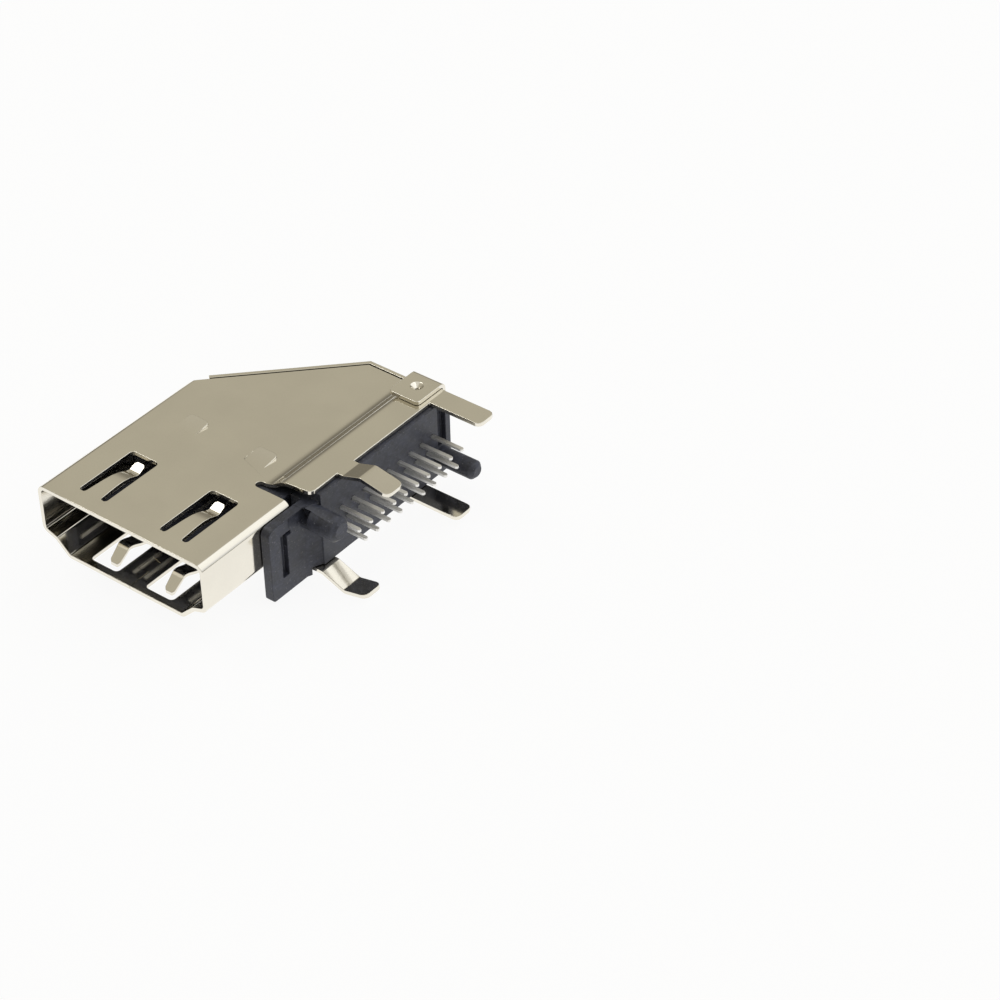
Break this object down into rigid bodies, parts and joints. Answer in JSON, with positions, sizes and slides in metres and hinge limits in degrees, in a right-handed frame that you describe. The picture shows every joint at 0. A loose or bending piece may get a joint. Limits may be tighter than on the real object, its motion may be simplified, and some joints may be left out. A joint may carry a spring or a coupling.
{
  "type": "right-angle video socket",
  "caption": "Board-mount right-angle socket for a flat D-shaped video plug: folded metal shell with solder legs, black moulded inserts and two rows of contacts.",
  "frame": {"origin": "middle of the bounding box's underside, on the surface that the socket lies on", "axes": "+X out of the base plate, towards the circuit board; +Y from the mouth to the back wall; +Z out of the shell's wide plate, with the narrow side down"},
  "size_m": [0.02, 0.0238, 0.0077],
  "materials": {
    "nickel_shell": "satin nickel plate",
    "housing_plastic": "moulded, fine matt",
    "base_plastic": "moulded, fine matt",
    "tinned_contact": "bright tin plate"
  },
  "bodies": {
    "root": {"shell": "nickel_shell", "contact_housing": "housing_plastic", "base_plate": "base_plastic", "contact_01": "tinned_contact", "contact_02": "tinned_contact", "contact_03": "tinned_contact", "contact_04": "tinned_contact", "contact_05": "tinned_contact", "contact_06": "tinned_contact", "contact_07": "tinned_contact", "contact_08": "tinned_contact", "contact_09": "tinned_contact", "contact_10": "tinned_contact", "contact_11": "tinned_contact", "contact_12": "tinned_contact", "contact_13": "tinned_contact", "contact_14": "tinned_contact", "contact_15": "tinned_contact", "contact_16": "tinned_contact", "contact_17": "tinned_contact", "contact_18": "tinned_contact", "contact_19": "tinned_contact"}
  },
  "joints": []
}
